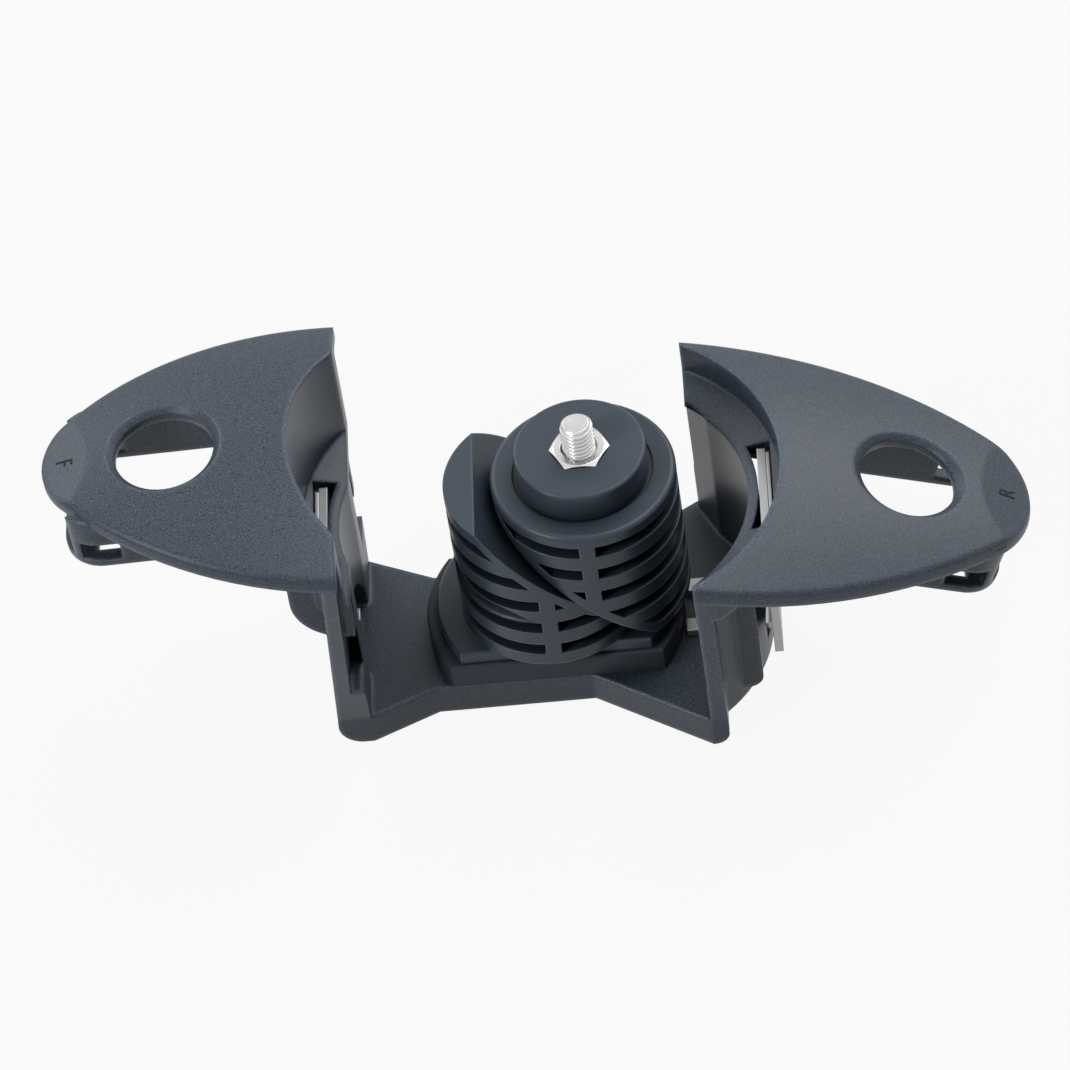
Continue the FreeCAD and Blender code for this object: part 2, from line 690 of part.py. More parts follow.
def clip(end):
    """A bent steel strip: a stepped leaf behind the wall and two tabs through the arch at its foot."""
    x = clip_face_x(end)
    floor = BASE_T + CLIP_GAP
    bend = CLIP_BEND_R + CLIP_T
    leaf = box(x, x + CLIP_T, CLIP_HALF, floor + bend, CLIP_SHOULDER_Z)
    leaf = leaf.fuse(box(x, x + CLIP_T, CLIP_TOP_HALF, floor + bend, CLIP_TOP_Z))
    half = CLIP_TAB_Y + CLIP_TAB_W / 2
    centre = V(x - CLIP_BEND_R, -half, floor + bend)
    turn = Part.makeCylinder(bend, 2 * half, centre, V(0, 1, 0))
    turn = turn.cut(Part.makeCylinder(CLIP_BEND_R, 2 * half, centre, V(0, 1, 0)))
    turn = turn.common(box(centre.x, centre.x + bend, half, floor, floor + bend))
    tab = Part.makeBox(end.tab_length - CLIP_BEND_R, CLIP_TAB_W, CLIP_T, V(x - end.tab_length, 0, floor))
    tabs = [tab.translated(V(0, y - CLIP_TAB_W / 2, 0)) for y in (-CLIP_TAB_Y, CLIP_TAB_Y)]
    return leaf.multiFuse([turn] + tabs).removeSplitter()


def build():
    return {
        "bracket": bracket(),
        "seat_pad": seat_pad(),
        "lower_wedge": lower_wedge(),
        "upper_wedge": upper_wedge(),
        "clamp_disc": clamp_disc(),
        "hex_nut": hex_nut(),
        "clamp_bolt": clamp_bolt(),
        "slide_washer": slide_washer(),
        "front_clip": mirrored(clip(FRONT)),
        "rear_clip": clip(REAR),
    }


os.makedirs("parts", exist_ok=True)
for name, shape in build().items():
    shape.exportStep("parts/" + name + ".step")
    size = shape.BoundBox
    print(name, len(shape.Solids), "solid", shape.isValid(), "volume %.0f" % shape.Volume,
          "x %.1f..%.1f y %.1f..%.1f z %.1f..%.1f" % (size.XMin, size.XMax, size.YMin, size.YMax,
                                                     size.ZMin, size.ZMax))
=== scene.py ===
# %% [markdown]
# # A mudguard mount, dressed for the studio
# The part is a moulded plastic bracket with two crowned wings. Between them stands an expanding plug: two
# slotted wedges, a disc, and a steel bolt that pulls them together inside a bicycle's fork. The construction
# is loaded as a fixed frame. This lesson adds what the eye looks for: grained plastic, bright steel, a real
# screw thread and soft light.

# %% Load the frame
import bpy
import bmesh
import json
import math
from mathutils import Matrix, Vector


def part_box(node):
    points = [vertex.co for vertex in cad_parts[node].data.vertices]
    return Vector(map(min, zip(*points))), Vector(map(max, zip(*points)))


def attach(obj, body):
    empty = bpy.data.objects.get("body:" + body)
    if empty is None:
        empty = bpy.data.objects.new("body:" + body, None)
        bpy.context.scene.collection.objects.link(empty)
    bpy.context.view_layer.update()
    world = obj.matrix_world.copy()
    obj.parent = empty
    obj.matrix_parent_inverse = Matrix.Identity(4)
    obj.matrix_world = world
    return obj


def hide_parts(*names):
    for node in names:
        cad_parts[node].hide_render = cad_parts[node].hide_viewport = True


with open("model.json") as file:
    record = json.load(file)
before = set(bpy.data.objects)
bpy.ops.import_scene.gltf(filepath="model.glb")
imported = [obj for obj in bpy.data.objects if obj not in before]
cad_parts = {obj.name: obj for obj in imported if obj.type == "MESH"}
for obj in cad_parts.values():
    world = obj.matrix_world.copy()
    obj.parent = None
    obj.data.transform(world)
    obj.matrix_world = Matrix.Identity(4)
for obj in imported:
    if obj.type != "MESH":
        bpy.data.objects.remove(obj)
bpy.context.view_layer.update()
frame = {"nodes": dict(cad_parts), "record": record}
nodes = frame["nodes"]
MM = 0.001
print("nodes:", ", ".join(sorted(nodes)))

# %% [markdown]
# ## The camera
# The picture looks down on the part at about 48 degrees with a long lens, which keeps the two wings nearly
# parallel. A camera could be aimed with a Track To constraint. Here its three axes are written out instead,
# because the picture is also rolled a little, and a matrix says all of that at once.

# %% Camera
CAMERA_RIGHT = Vector((0.99409, -0.02603, -0.10516))
CAMERA_UP = Vector((0.08893, 0.75078, 0.65451))
CAMERA_BACK = Vector((0.0619, -0.6600, 0.7487))
CAMERA_PLACE = Vector((0.06184, -0.67403, 0.79071))
CAMERA_LENS = 227.3
SENSOR_WIDTH = 36.0
CLIP_NEAR, CLIP_FAR = 0.05, 20.0

camera_data = bpy.data.cameras.new("picture_camera")
camera_data.lens = CAMERA_LENS
camera_data.sensor_width = SENSOR_WIDTH
camera_data.clip_start = CLIP_NEAR
camera_data.clip_end = CLIP_FAR
camera = bpy.data.objects.new("picture_camera", camera_data)
bpy.context.scene.collection.objects.link(camera)
turn = Matrix((CAMERA_RIGHT, CAMERA_UP, CAMERA_BACK)).transposed().to_4x4()
camera.matrix_world = Matrix.Translation(CAMERA_PLACE) @ turn
bpy.context.scene.camera = camera
bpy.context.scene.view_settings.view_transform = "Standard"
print("camera is %.2f m away" % CAMERA_PLACE.length)

# %% [markdown]
# ## Building materials from small parts
# A material is a graph of nodes. Writing it by hand means three steps for each node: make it, set it, wire
# it. One helper does all three, so that a material below reads as a list of what it is made of. A second
# helper opens a node group, which is a sub-graph with named inputs that several materials share.


# %% Node helpers
def add_node(tree, kind, inputs=None, **settings):
    """Adds a shader node, sets its options by name, and fills or wires its input sockets."""
    made = tree.nodes.new("ShaderNode" + kind)
    for name, value in settings.items():
        setattr(made, name, value)
    for name, value in (inputs or {}).items():
        if isinstance(value, bpy.types.NodeSocket):
            tree.links.new(value, made.inputs[name])
        else:
            made.inputs[name].default_value = value
    return made


def open_group(name, inputs, outputs):
    """An empty shader group: inputs are (name, socket type, value) and outputs are (name, socket type)."""
    tree = bpy.data.node_groups.new(name, "ShaderNodeTree")
    for title, kind, value in inputs:
        socket = tree.interface.new_socket(title, in_out="INPUT", socket_type="NodeSocket" + kind)
        socket.default_value = value
    for title, kind in outputs:
        tree.interface.new_socket(title, in_out="OUTPUT", socket_type="NodeSocket" + kind)
    source = tree.nodes.new("NodeGroupInput").outputs
    result = tree.nodes.new("NodeGroupOutput").inputs
    return tree, source, result


def use_group(tree, group, **inputs):
    """Places a group in a material, with spaces in its input names written as underscores."""
    placed = tree.nodes.new("ShaderNodeGroup")
    placed.node_tree = group
    for name, value in inputs.items():
        placed.inputs[name.replace("_", " ")].default_value = value
    return placed.outputs


def maths(tree, operation, first, second=0.0, third=0.0):
    """One Math node: each value is a number or a socket."""
    return add_node(tree, "Math", {0: first, 1: second, 2: third}, operation=operation).outputs[0]


# %% [markdown]
# ## Moulded grain
# The mould of the bracket was spark eroded, so its surface is a field of tiny rounded pits about a third of a
# millimetre across. They catch the light as pale and dark specks. Real pits would need millions of faces, so
# they are noise: one output is a height for a Bump node, one is a speckle for the colour, and one is a slow
# drift of tone, as a large moulding cools unevenly. All moulded finishes share the group with other values.

# %% Moulded grain group
FINER_GRAIN = 1.7
CELL_SHARE = 0.6
SPECK_LOW, SPECK_HIGH = 0.3, 0.7


def moulded_grain():
    tree, source, result = open_group(
        "Moulded grain",
        [("Grain per metre", "Float", 3000.0), ("Drift per metre", "Float", 30.0)],
        [("Height", "Float"), ("Speckle", "Float"), ("Drift", "Float")],
    )
    place = add_node(tree, "TexCoord").outputs["Object"]
    coarse = source["Grain per metre"]
    pits = add_node(tree, "TexNoise", {"Vector": place, "Scale": coarse, "Detail": 2.0, "Roughness": 0.6})
    finer = maths(tree, "MULTIPLY", coarse, FINER_GRAIN)
    cells = add_node(tree, "TexVoronoi", {"Vector": place, "Scale": finer}, feature="SMOOTH_F1")
    height = maths(tree, "MULTIPLY_ADD", cells.outputs["Distance"], CELL_SHARE, pits.outputs["Fac"])
    speck = add_node(tree, "TexNoise", {"Vector": place, "Scale": finer, "Detail": 1.0})
    spread = add_node(tree, "MapRange", {"Value": speck.outputs["Fac"], "From Min": SPECK_LOW,
                                         "From Max": SPECK_HIGH})
    slow = source["Drift per metre"]
    drift = add_node(tree, "TexNoise", {"Vector": place, "Scale": slow, "Detail": 3.0})
    tree.links.new(height, result["Height"])
    tree.links.new(spread.outputs["Result"], result["Speckle"])
    tree.links.new(drift.outputs["Fac"], result["Drift"])
    return tree


GRAIN = moulded_grain()
print("group:", GRAIN.name)

# %% [markdown]
# ## Softened edges
# No moulded or turned edge is perfectly sharp: each has a small radius that draws a thin bright line along
# it. The Bevel node gives that radius to the shading of every edge without touching the mesh. Where its
# normal turns away from the flat one there is an edge, so the same node also gives a mask, which the
# materials use for a slight polish in the roughness and for a painted highlight that lightens the colour
# there.

# %% Softened edge group
MASK_SAMPLES = 6
EDGE_STARTS, EDGE_FULL = 0.995, 0.8


def softened_edge():
    tree, source, result = open_group(
        "Softened edge",
        [("Radius", "Float", 0.0003)],
        [("Normal", "Vector"), ("Edge", "Float")],
    )
    bevel = add_node(tree, "Bevel", {"Radius": source["Radius"]}, samples=MASK_SAMPLES)
    rounded = bevel.outputs["Normal"]
    flat = add_node(tree, "NewGeometry").outputs["Normal"]
    alike = add_node(tree, "VectorMath", {0: rounded, 1: flat}, operation="DOT_PRODUCT")
    edge = add_node(tree, "MapRange", {"Value": alike.outputs["Value"], "From Min": EDGE_STARTS,
                                       "From Max": EDGE_FULL})
    tree.links.new(rounded, result["Normal"])
    tree.links.new(edge.outputs["Result"], result["Edge"])
    return tree


EDGE = softened_edge()
print("group:", EDGE.name)

# %% [markdown]
# ## Painted shade in hollows
# Corners, slots and the inside of the recess get painted shade: their colour is darkened to stand in for the
# shade that falls there. The Ambient Occlusion node tells how open a place is: it sends short rays from it
# and counts those that meet nothing. Every moulded finish takes this painted shade from that mask.


# %% Painted hollow shade group
# painted shade: this mask darkens the moulded colour in corners, slots and recesses
def painted_hollow_shade():
    tree, source, result = open_group("Hollows", [("Reach", "Float", 0.015)], [("Open", "Float")])
    mask = add_node(tree, "AmbientOcclusion", {"Distance": source["Reach"]}, samples=MASK_SAMPLES)
    tree.links.new(mask.outputs["AO"], result["Open"])
    return tree


HOLLOW_SHADE = painted_hollow_shade()
print("group:", HOLLOW_SHADE.name)

# %% [markdown]
# ## Drawn lines
# Steel keeps the marks of how it was made. A turned bolt has fine rings round its axis, and rolled strip has
# long streaks. Both are noise that is stretched in one direction, so one group serves, with the scale along
# each axis as its input.

# %% Drawn lines group
SMUDGES_PER_METRE = 260.0
SMUDGE_SHARE = 0.5


def drawn_lines():
    tree, source, result = open_group(
        "Drawn lines",
        [("Lines per metre", "Vector", (200.0, 200.0, 9000.0))],
        [("Height", "Float"), ("Shade", "Float")],
    )
    place = add_node(tree, "TexCoord").outputs["Object"]
    stretch = {0: place, 1: source["Lines per metre"]}
    stretched = add_node(tree, "VectorMath", stretch, operation="MULTIPLY").outputs["Vector"]
    lines = add_node(tree, "TexNoise", {"Vector": stretched, "Scale": 1.0, "Detail": 4.0, "Roughness": 0.65})
    smudge = add_node(tree, "TexNoise", {"Vector": place, "Scale": SMUDGES_PER_METRE, "Detail": 2.0})
    shade = maths(tree, "MULTIPLY_ADD", smudge.outputs["Fac"], SMUDGE_SHARE, lines.outputs["Fac"])
    tree.links.new(lines.outputs["Fac"], result["Height"])
    tree.links.new(shade, result["Shade"])
    return tree


LINES = drawn_lines()
print("group:", LINES.name)

# %% [markdown]
# ## Plastics and rubber
# Four moulded finishes differ in colour, gloss and grain, and are otherwise built alike: the speckle and the
# drift vary the colour, the edge mask polishes it and paints a highlight on it, the hollow mask paints shade
# into it, and grain and softened edges meet in one Bump node. The bracket is a dark blue-grey with a coarse
# grain, the plug is smoother, the pad under it is dull rubber, and the letters are a darker copy with painted
# shade, so that they can be read.


# %% Moulded materials
def open_material(name):
    """A material with only a Principled shader and its output."""
    material = bpy.data.materials.new(name)
    material.use_nodes = True
    return material, material.node_tree, material.node_tree.nodes["Principled BSDF"]


def between(tree, mask, low, high):
    """A number that runs from low to high as a mask goes from 0 to 1."""
    return add_node(tree, "MapRange", {"Value": mask, "To Min": low, "To Max": high}).outputs["Result"]


def tint(tree, colour, mask, dark, light):
    """A colour that a mask makes darker or lighter."""
    level = between(tree, mask, dark, light)
    return add_node(tree, "VectorMath", {0: colour, 3: level}, operation="SCALE").outputs["Vector"]


DRIFT_SPREAD = 0.1
ROUGH_SPREAD = 0.06
EDGE_POLISH = 0.08
HOLLOW_REACH = 0.015
HOLLOW_SHADE_TONE = 0.1


def moulded(name, colour, roughness, grain, grain_depth, speckle, edge_radius, painted_edge_highlight, specular):
    """A moulded plastic or rubber. Speckle and painted_edge_highlight are shares of the colour."""
    material, tree, shader = open_material(name)
    surface = use_group(tree, GRAIN, Grain_per_metre=grain)
    edges = use_group(tree, EDGE, Radius=edge_radius)
    base = add_node(tree, "CombineXYZ", dict(zip("XYZ", colour))).outputs["Vector"]
    base = tint(tree, base, surface["Speckle"], 1 - speckle, 1 + speckle)
    base = tint(tree, base, surface["Drift"], 1 - DRIFT_SPREAD, 1 + DRIFT_SPREAD)
    # painted highlight: the edge mask lightens the colour along every edge
    base = tint(tree, base, edges["Edge"], 1.0, 1 + painted_edge_highlight)
    # painted shade: the hollow mask darkens the colour in corners, slots and recesses
    hollow_shade_mask = use_group(tree, HOLLOW_SHADE, Reach=HOLLOW_REACH)
    base = tint(tree, base, hollow_shade_mask["Open"], HOLLOW_SHADE_TONE, 1.0)
    rough = between(tree, surface["Speckle"], roughness - ROUGH_SPREAD, roughness + ROUGH_SPREAD)
    rough = maths(tree, "MULTIPLY_ADD", edges["Edge"], -EDGE_POLISH, rough)
    bump = add_node(tree, "Bump", {"Strength": 1.0, "Distance": grain_depth, "Height": surface["Height"],
                                   "Normal": edges["Normal"]})
    tree.links.new(base, shader.inputs["Base Color"])
    tree.links.new(rough, shader.inputs["Roughness"])
    tree.links.new(bump.outputs["Normal"], shader.inputs["Normal"])
    shader.inputs["Specular IOR Level"].default_value = specular
    return material


BRACKET_PLASTIC = moulded("grained_bracket", (0.048, 0.065, 0.091), 0.38, grain=3400.0, grain_depth=0.00002,
                          speckle=0.85, edge_radius=0.0011, painted_edge_highlight=1.5, specular=0.36)
# painted shade: the letters are a darker copy of the bracket plastic, standing in for the shadow inside
# engraved strokes
SHADED_LETTER_PLASTIC = moulded("shadowed_letter", (0.014, 0.018, 0.024), 0.6, grain=3000.0, grain_depth=0.00002,
                         speckle=0.2, edge_radius=0.0001, painted_edge_highlight=0.2, specular=0.2)
PLUG_PLASTIC = moulded("satin_plug", (0.055, 0.074, 0.099), 0.34, grain=5200.0, grain_depth=0.000012,
                       speckle=0.08, edge_radius=0.0004, painted_edge_highlight=1.4, specular=0.3)
PAD_RUBBER = moulded("dull_pad", (0.052, 0.062, 0.076), 0.55, grain=4200.0, grain_depth=0.00002,
                     speckle=0.12, edge_radius=0.0003, painted_edge_highlight=0.6, specular=0.2)
print("moulded:", BRACKET_PLASTIC.name, SHADED_LETTER_PLASTIC.name, PLUG_PLASTIC.name, PAD_RUBBER.name)

# %% [markdown]
# ## Steels
# The bolt, nut and washer are bright turned stainless steel, and the clips are rolled spring strip. Metal has
# almost no colour of its own: what shows is how sharply it mirrors the room. The drawn lines vary the
# roughness, tilt the surface a little and cloud the tone, which keeps the mirror from looking like chrome.
# The edge mask also paints a faint highlight, a lighter colour, along the edges.

# %% Steel materials
SHADE_DARK, SHADE_LIGHT = 0.85, 1.1
STEEL_EDGE_HIGHLIGHT = 0.15
SMOOTHER, ROUGHER = 0.08, 0.1


def steel(name, colour, roughness, lines, line_depth, edge_radius):
    """A steel with drawn lines, where lines is their number in a metre along each axis."""
    material, tree, shader = open_material(name)
    marks = use_group(tree, LINES, Lines_per_metre=lines)
    edges = use_group(tree, EDGE, Radius=edge_radius)
    base = add_node(tree, "CombineXYZ", dict(zip("XYZ", colour))).outputs["Vector"]
    base = tint(tree, base, marks["Shade"], SHADE_DARK, SHADE_LIGHT)
    # painted highlight: the edge mask lightens the steel's colour along its edges
    base = tint(tree, base, edges["Edge"], 1.0, 1 + STEEL_EDGE_HIGHLIGHT)
    bump = add_node(tree, "Bump", {"Strength": 1.0, "Distance": line_depth, "Height": marks["Height"],
                                   "Normal": edges["Normal"]})
    rough = between(tree, marks["Shade"], roughness - SMOOTHER, roughness + ROUGHER)
    tree.links.new(base, shader.inputs["Base Color"])
    tree.links.new(rough, shader.inputs["Roughness"])
    tree.links.new(bump.outputs["Normal"], shader.inputs["Normal"])
    shader.inputs["Metallic"].default_value = 1.0
    return material


BOLT_STEEL = steel("turned_bolt", (0.58, 0.578, 0.572), 0.2, lines=(300.0, 300.0, 12000.0),
                   line_depth=0.000002, edge_radius=0.00012)
SPRING_STEEL = steel("rolled_strip", (0.32, 0.324, 0.332), 0.36, lines=(3000.0, 9000.0, 200.0),
                     line_depth=0.000003, edge_radius=0.0002)
print("steels:", BOLT_STEEL.name, SPRING_STEEL.name)

# %% [markdown]
# ## Dressing the solids
# The solids of the frame already have the true shape, so most of them only take a finish. The record names a
# slot for each node, and a table turns slot names into the materials above.

# %% Finishes on the solids
FINISHES = {"bracket_plastic": BRACKET_PLASTIC, "plug_plastic": PLUG_PLASTIC, "pad_rubber": PAD_RUBBER,
            "bolt_steel": BOLT_STEEL, "spring_steel": SPRING_STEEL}
SLOT_OF = {part["node"]: part["material_slot"] for part in frame["record"]["subparts"]}
for name, solid in nodes.items():
    solid.data.materials.clear()
    solid.data.materials.append(FINISHES[SLOT_OF[name]])
print("dressed", len(nodes), "solids")

# %% [markdown]
# ## Pieces made of rings
# The bolt and the nut are turned shapes that carry something a plain lathe can't: a screw thread, a hexagon.
# Both are still rings of points stacked along one axis. So one helper takes a list of rings, where a ring is
# a radius and a height for each direction, and skins them into a closed mesh.


# %% Ring skin helpers
def level_ring(count, radius, height):
    """A round ring, or a shaped one where radius is a function of the direction."""
    shaped = callable(radius)
    return [(radius(2 * math.pi * i / count) if shaped else radius, height) for i in range(count)]


def hexagon_radius(across_flats):
    """The radius of a hexagon in a direction, with two corners along X."""
    sixth = math.pi / 3

    def radius(angle):
        return across_flats / 2 / math.cos(angle % sixth - sixth / 2)

    return radius


def bridge(mesh, low, high):
    """A band of faces between two loops with the same number of points."""
    for i in range(len(low)):
        j = (i + 1) % len(low)
        mesh.faces.new((low[i], low[j], high[j], high[i]))


def skin(rings, axis_x, closed):
    """A mesh through rings round the vertical line at axis_x, closed as a tube or with two caps."""
    count = len(rings[0])
    mesh = bmesh.new()
    loops = []
    for ring in rings:
        loop = []
        for i, (radius, height) in enumerate(ring):
            angle = 2 * math.pi * i / count
            x, y = axis_x + radius * math.cos(angle), radius * math.sin(angle)
            loop.append(mesh.verts.new((x, y, height)))
        loops.append(loop)
    pairs = list(zip(loops, loops[1:]))
    if closed:
        pairs.append((loops[-1], loops[0]))
    for low, high in pairs:
        bridge(mesh, low, high)
    if not closed:
        mesh.faces.new(list(reversed(loops[0])))
        mesh.faces.new(loops[-1])
    bmesh.ops.recalc_face_normals(mesh, faces=mesh.faces)
    return mesh


def finish_piece(name, mesh, body, slot, sharp_angle, finish=None):
    """Turns a bmesh into an object with smooth faces and sharp edges, and sets it on its body."""
    data = bpy.data.meshes.new(name)
    mesh.to_mesh(data)
    mesh.free()
    data.shade_smooth()
    data.set_sharp_from_angle(angle=math.radians(sharp_angle))
    data.materials.append(finish or FINISHES[slot])
    piece = bpy.data.objects.new(name, data)
    bpy.context.scene.collection.objects.link(piece)
    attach(piece, body)
    print(name, len(data.polygons), "faces")
    return piece


# %% [markdown]
# ## The bolt
# An M5 button head bolt stands head down in the base, and its last 22 mm carry the thread that the nut runs
# on. The Screw modifier could sweep a thread, but its ends would be open. Here each ring of the shank gets
# its radius from the thread's profile instead: flat crests, sloping flanks and flat roots that climb one
# pitch a turn. The profile fades to the plain shank below, and a chamfer cuts into it at the tip.

# %% Threaded bolt
RING_POINTS = 48
PITCH = 0.8 * MM
THREAD_LENGTH = 22.0 * MM
THREAD_DEPTH = 0.54 * PITCH
RINGS_A_PITCH = 16
CREST_SHARE = 0.14
ROOT_SHARE = 0.22
TIP_CHAMFER = 0.6 * MM
SHANK_R = 2.5 * MM
HEAD_FLAT_R = 2.6 * MM
HEAD_H = 2.75 * MM
HEAD_ROUND_STEPS = 8
KEY_ACROSS = 3.0 * MM
KEY_DEPTH = 1.6 * MM

bolt_low, bolt_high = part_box("clamp_bolt")
bolt_x = (bolt_low.x + bolt_high.x) / 2
head_r = (bolt_high.x - bolt_low.x) / 2


def thread_cut(angle, height):
    """How far the thread cuts into the shank, from 0 on a crest to 1 in a root."""
    place = (height / PITCH - angle / (2 * math.pi)) % 1.0
    from_crest = min(place, 1.0 - place)
    flank = 0.5 - CREST_SHARE / 2 - ROOT_SHARE / 2
    return min(max((from_crest - CREST_SHARE / 2) / flank, 0.0), 1.0)


def thread_ring(height, thread_start, tip):
    """One ring of the shank with the thread cut into it."""
    fade = min(max((height - thread_start) / PITCH, 0.0), 1.0)
    limit = SHANK_R - TIP_CHAMFER + (tip - height)
    ring = []
    for i in range(RING_POINTS):
        cut = thread_cut(2 * math.pi * i / RING_POINTS, height)
        ring.append((min(SHANK_R - THREAD_DEPTH * cut * fade, limit), height))
    return ring


def threaded_bolt():
    seat = bolt_low.z + HEAD_H
    tip = bolt_high.z
    key = hexagon_radius(KEY_ACROSS)
    rings = [level_ring(RING_POINTS, key, bolt_low.z + KEY_DEPTH), level_ring(RING_POINTS, key, bolt_low.z)]
    for i in range(HEAD_ROUND_STEPS + 1):
        turn = math.pi / 2 * i / HEAD_ROUND_STEPS
        radius = HEAD_FLAT_R + (head_r - HEAD_FLAT_R) * math.sin(turn)
        rings.append(level_ring(RING_POINTS, radius, seat - HEAD_H * math.cos(turn)))
    rings.append(level_ring(RING_POINTS, SHANK_R, seat))
    thread_start = tip - THREAD_LENGTH
    rings.append(level_ring(RING_POINTS, SHANK_R, thread_start))
    count = round(THREAD_LENGTH / PITCH * RINGS_A_PITCH)
    for i in range(1, count + 1):
        rings.append(thread_ring(thread_start + THREAD_LENGTH * i / count, thread_start, tip))
    return skin(rings, bolt_x, closed=False)


bolt = finish_piece("threaded_bolt", threaded_bolt(), "bolt", "bolt_steel", sharp_angle=35)
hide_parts("clamp_bolt")

# %% [markdown]
# ## The nut
# A nut's corners are turned off at 30 degrees, which leaves a round face with a curved edge dipping over each
# flat. With the outside ring shaped as a hexagon and its height worked out from the cone, those curves come
# by themselves. The mouth of the thread is a small countersink that draws a dark ring round the bolt.

# %% Hexagon nut
NUT_POINTS = 96
NUT_ACROSS = 8.0 * MM
NUT_FACE_SHARE = 0.96
NUT_FACE_R = NUT_ACROSS / 2 * NUT_FACE_SHARE
NUT_BORE_R = 2.56 * MM
NUT_MOUTH_R = 2.85 * MM
NUT_CONE = math.tan(math.radians(30))

nut_low, nut_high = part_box("hex_nut")


def chamfered_ring(face_height, sign):
    """The hexagon's edge where the turned cone meets it; sign is +1 for the upper end."""
    radius = hexagon_radius(NUT_ACROSS)
    ring = []
    for i in range(NUT_POINTS):
        reach = radius(2 * math.pi * i / NUT_POINTS)
        ring.append((reach, face_height - sign * (reach - NUT_FACE_R) * NUT_CONE))
    return ring


def hexagon_nut():
    mouth = NUT_MOUTH_R - NUT_BORE_R
    rings = []
    for face_height, sign in ((nut_low.z, -1), (nut_high.z, 1)):
        end = [level_ring(NUT_POINTS, NUT_BORE_R, face_height - sign * mouth),
               level_ring(NUT_POINTS, NUT_MOUTH_R, face_height),
               level_ring(NUT_POINTS, NUT_FACE_R, face_height),
               chamfered_ring(face_height, sign)]
        rings += end if sign < 0 else list(reversed(end))
    return skin(rings, bolt_x, closed=True)


nut = finish_piece("hexagon_nut", hexagon_nut(), "disc", "bolt_steel", sharp_angle=25)
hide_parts("hex_nut")

# %% [markdown]
# ## Folded leaves of the clips
# Each clip is a strip that is folded over at its top, and the outer half of the fold bows away from the wall.
# It is drawn as a line in the side view, a row of points whose distance from the clip follows a sine, and the
# line is then given the strip's thickness and width. The clip itself comes from the frame.

# %% Clip leaves
LEAF_STEPS = 16
LEAF_T = 0.5 * MM
LEAF_HALF = 7.0 * MM
LEAF_BOW = 1.9 * MM
LEAF_FOOT = 8.0 * MM
LEAF_OFF = 0.05 * MM


def folded_leaf(clip, outward):
    """The outer leaf of a clip: outward is +1 for the rear clip and -1 for the front one."""
    low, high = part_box(clip)
    face = high.x if outward > 0 else low.x
    mesh = bmesh.new()
    sections = []
    for i in range(LEAF_STEPS + 1):
        share = i / LEAF_STEPS
        inner = LEAF_OFF + LEAF_BOW * math.sin(math.pi * share)
        height = low.z + LEAF_FOOT + (high.z - low.z - LEAF_FOOT) * share
        outer = inner + LEAF_T
        corners = ((inner, -LEAF_HALF), (inner, LEAF_HALF), (outer, LEAF_HALF), (outer, -LEAF_HALF))
        sections.append([mesh.verts.new((face + outward * away, y, height)) for away, y in corners])
    for below, above in zip(sections, sections[1:]):
        bridge(mesh, below, above)
    mesh.faces.new(sections[0])
    mesh.faces.new(sections[-1])
    bmesh.ops.recalc_face_normals(mesh, faces=mesh.faces)
    return finish_piece(clip + "_leaf", mesh, "frame", "spring_steel", sharp_angle=40)


folded_leaf("front_clip", -1)
folded_leaf("rear_clip", 1)

# %% [markdown]
# ## Front and rear letters
# An F and an R on the wing tips say which way round the bracket goes. Text in Blender is a curve; given
# some depth and a small bevel it becomes a raised letter, and turned into a mesh it rides like any other
# piece. A letter lies on the flat at the tip of its wing. Its place is measured from the hole in
# that wing, and its plane is the hole's, tilted further down outboard.

# %% Raised letters
LETTER_SIZE = 4.0 * MM
LETTER_WIDTH_SHARE = 0.75
LETTER_THINNING = 0.06 * MM
LETTER_DEPTH = 0.1 * MM
LETTER_BEVEL = 0.03 * MM
LETTERS = {
    "F": {"mount": "front_wing_hole", "past_hole": 15.27 * MM, "lift": 0.63 * MM, "tilt": 13.1},
    "R": {"mount": "rear_wing_hole", "past_hole": 15.75 * MM, "lift": 0.62 * MM, "tilt": 12.5},
}
MOUNTS = {mount["name"]: mount for mount in frame["record"]["mounts"]}


def raised_letter(sign, mount, past_hole, lift, tilt):
    """A letter past_hole outboard of the centre of a wing's hole, with its top towards the plug."""
    axis = Vector(MOUNTS[mount]["axis"]).normalized()
    centre = Vector(MOUNTS[mount]["pos_m"])
    outboard = Vector((math.copysign(1.0, centre.x), 0, 0))
    along = (outboard - axis * outboard.dot(axis)).normalized()
    slope = math.radians(tilt)
    normal = axis * math.cos(slope) + along * math.sin(slope)
    tall = axis * math.sin(slope) - along * math.cos(slope)
    wide = tall.cross(normal)
    curve = bpy.data.curves.new("letter_" + sign, "FONT")
    curve.body = sign
    curve.size = LETTER_SIZE
    curve.offset = -LETTER_THINNING
    curve.extrude = LETTER_DEPTH / 2
    curve.bevel_depth = LETTER_BEVEL
    curve.align_x = "CENTER"
    curve.align_y = "CENTER"
    text = bpy.data.objects.new("letter_" + sign, curve)
    mesh = bmesh.new()
    mesh.from_mesh(bpy.data.meshes.new_from_object(text))
    bpy.data.objects.remove(text)
    place = Matrix((wide * LETTER_WIDTH_SHARE, tall, normal)).transposed().to_4x4()
    place.translation = centre + along * past_hole + axis * lift
    bmesh.ops.transform(mesh, matrix=place, verts=mesh.verts)
    # the darker letter finish is painted shade
    return finish_piece("letter_" + sign.lower(), mesh, "frame", "bracket_plastic", sharp_angle=40,
                        finish=SHADED_LETTER_PLASTIC)


for sign, values in LETTERS.items():
    raised_letter(sign, **values)

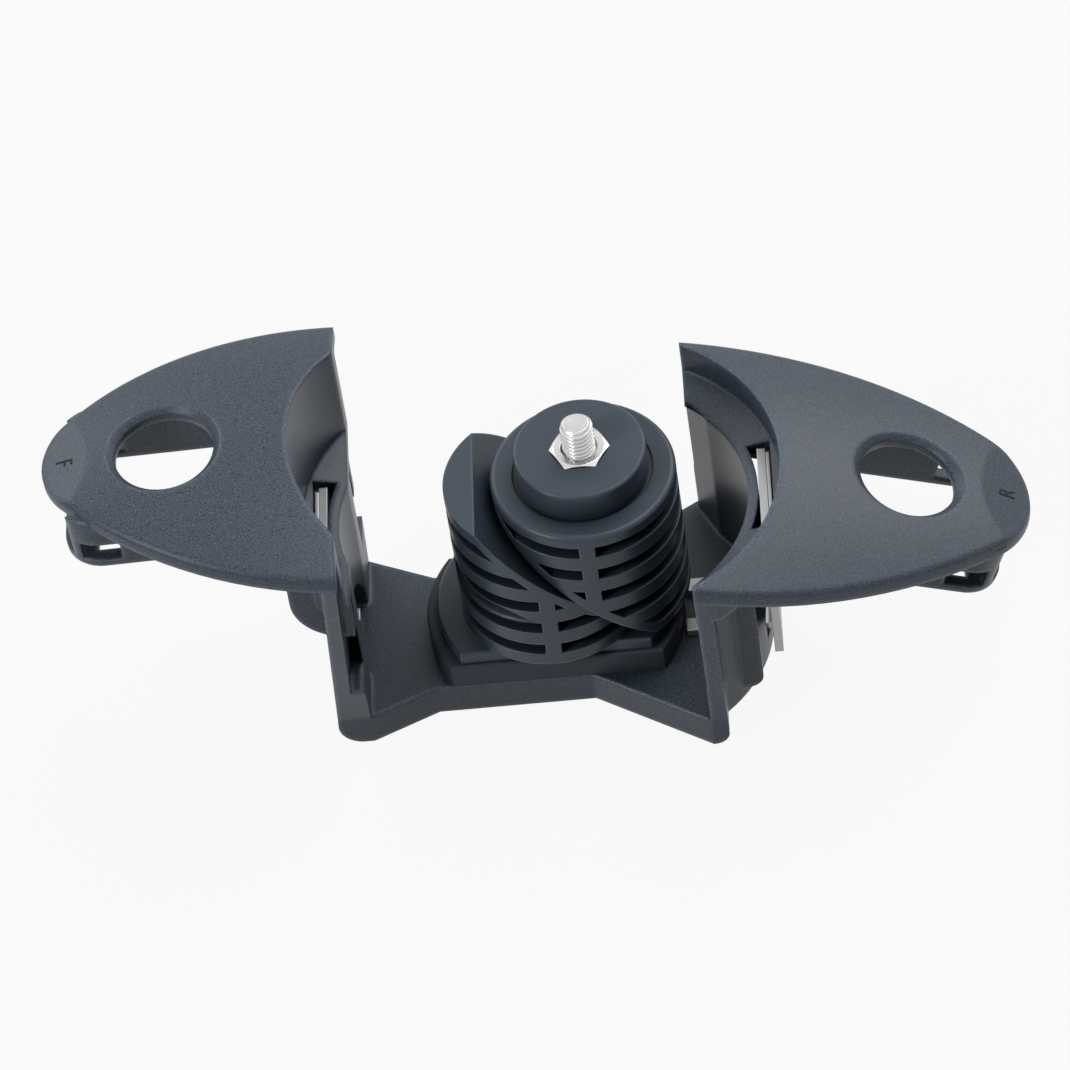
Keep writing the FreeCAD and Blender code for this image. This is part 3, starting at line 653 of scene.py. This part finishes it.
# %% [markdown]
# ## Floor, lamps and world
# A pale floor and soft lamps give a product picture. Three wide lamps above and behind light the wings, and a
# small one at the front left draws the bright lines on bevels and rounded edges. Their level is set so that a
# colour renders about as it is written. The white of the background comes from rays that reach the camera, a
# mirror or glass, so it adds no light to the part. About a twelfth of the floor is its lit self, which is
# enough for a faint shadow.

# %% Stage
FLOOR_HALF = 4.0
FLOOR_COLOUR = (0.5, 0.5, 0.5, 1.0)
FLOOR_ROUGHNESS = 0.9
FLOOR_GLOW = 0.92
WHITE = (1.0, 1.0, 1.0, 1.0)
WORLD_LEVEL = 0.05
LAMP_AIM = Vector((0.0, 0.0, 0.03))


def seen_directly(tree):
    """A mask for rays from the camera, a mirror or glass."""
    path = add_node(tree, "LightPath").outputs
    sharp = maths(tree, "MAXIMUM", path["Is Glossy Ray"], path["Is Transmission Ray"])
    return maths(tree, "MAXIMUM", path["Is Camera Ray"], sharp)


def pale_floor():
    mesh = bmesh.new()
    corners = ((-1, -1), (1, -1), (1, 1), (-1, 1))
    mesh.faces.new([mesh.verts.new((x * FLOOR_HALF, y * FLOOR_HALF, 0.0)) for x, y in corners])
    data = bpy.data.meshes.new("studio_floor")
    mesh.to_mesh(data)
    mesh.free()
    material, tree, shader = open_material("studio_floor")
    shader.inputs["Base Color"].default_value = FLOOR_COLOUR
    shader.inputs["Roughness"].default_value = FLOOR_ROUGHNESS
    glow = add_node(tree, "Emission", {"Color": WHITE, "Strength": 1.0})
    share = maths(tree, "MULTIPLY", seen_directly(tree), FLOOR_GLOW)
    mixed = add_node(tree, "MixShader", {0: share, 1: shader.outputs[0], 2: glow.outputs[0]})
    tree.links.new(mixed.outputs[0], tree.nodes["Material Output"].inputs["Surface"])
    data.materials.append(material)
    floor = bpy.data.objects.new("studio_floor", data)
    bpy.context.scene.collection.objects.link(floor)


def soft_lamp(name, place, size, power):
    """A square area lamp that faces the middle of the part."""
    data = bpy.data.lights.new(name, "AREA")
    data.shape = "SQUARE"
    data.size = size
    data.energy = power
    lamp = bpy.data.objects.new(name, data)
    lamp.location = place
    aim = LAMP_AIM - Vector(place)
    lamp.rotation_euler = aim.to_track_quat("-Z", "Y").to_euler()
    bpy.context.scene.collection.objects.link(lamp)
    return lamp


def white_world():
    world = bpy.data.worlds.new("white_room")
    world.use_nodes = True
    tree = world.node_tree
    level = between(tree, seen_directly(tree), WORLD_LEVEL, 1.0)
    tree.links.new(level, tree.nodes["Background"].inputs["Strength"])
    tree.nodes["Background"].inputs["Color"].default_value = WHITE
    bpy.context.scene.world = world


pale_floor()
white_world()
LAMPS = [soft_lamp("top_lamp", (0.3, 0.2, 1.1), 0.5, 3.6),
         soft_lamp("front_lamp", (-0.74, -0.55, 0.68), 0.28, 5.2),
         soft_lamp("right_lamp", (0.5, 0.66, 0.74), 0.6, 4.0),
         soft_lamp("left_lamp", (-0.55, 0.72, 0.66), 0.45, 1.9)]
print("lamps:", ", ".join(lamp.name for lamp in LAMPS))
